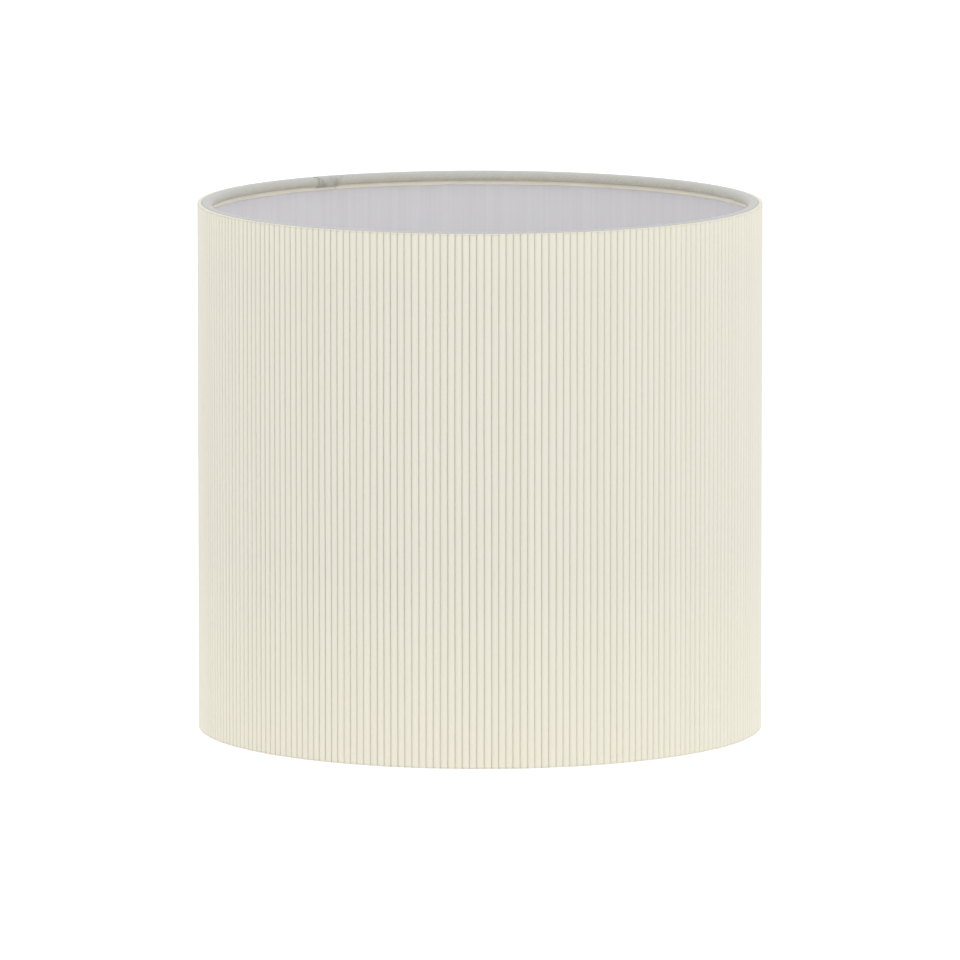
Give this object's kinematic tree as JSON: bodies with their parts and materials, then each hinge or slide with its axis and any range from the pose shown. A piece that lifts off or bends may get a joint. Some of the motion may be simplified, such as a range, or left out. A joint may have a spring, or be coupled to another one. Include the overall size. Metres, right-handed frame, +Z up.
{
  "type": "lamp shade",
  "caption": "Pleated cloth drum lamp shade on a stiff lining between wire rims, with a tilting collar and a loose reducer ring to seat it on a lampholder",
  "frame": {"origin": "centre of the bottom rim, on the plane the shade stands on", "axes": "+Z up along the drum's axis, +X along the fitter's two pivots, +Y away from the viewer"},
  "size_m": [0.16, 0.16, 0.15],
  "materials": {
    "cream_cloth": "matte pleated poly-cotton",
    "cream_tape": "matte woven tape",
    "white_sheet": "satin styrene sheet",
    "clear_tape": "satin film",
    "ring_wire": "drawn wire",
    "painted_steel": "white powder coat",
    "zinc_plate": "zinc plate",
    "white_plastic": "moulded satin"
  },
  "bodies": {
    "shade": {"pleated_cover": "cream_cloth", "lining": "white_sheet", "lining_seam_strip": "clear_tape", "top_ring": "ring_wire", "bottom_ring": "ring_wire", "top_trim": "cream_tape", "bottom_trim": "cream_tape", "gimbal_arm_left": "painted_steel", "gimbal_arm_right": "painted_steel", "pivot_rivet_left": "zinc_plate", "pivot_rivet_right": "zinc_plate", "pivot_washer_left": "zinc_plate", "pivot_washer_right": "zinc_plate"},
    "collar": {"gimbal_collar": "painted_steel"},
    "reducer": {"reducer_ring": "white_plastic"}
  },
  "joints": [
    {"name": "collar_tilt", "type": "hinge", "parent": "shade", "child": "collar", "pos_m": [0, 0, 0.034], "axis": [1, 0, 0], "range_deg": [-30, 30]},
    {"name": "reducer_lift", "type": "slide", "parent": "collar", "child": "reducer", "axis": [0, 0, 1], "range_m": [0, 0.08]}
  ]
}
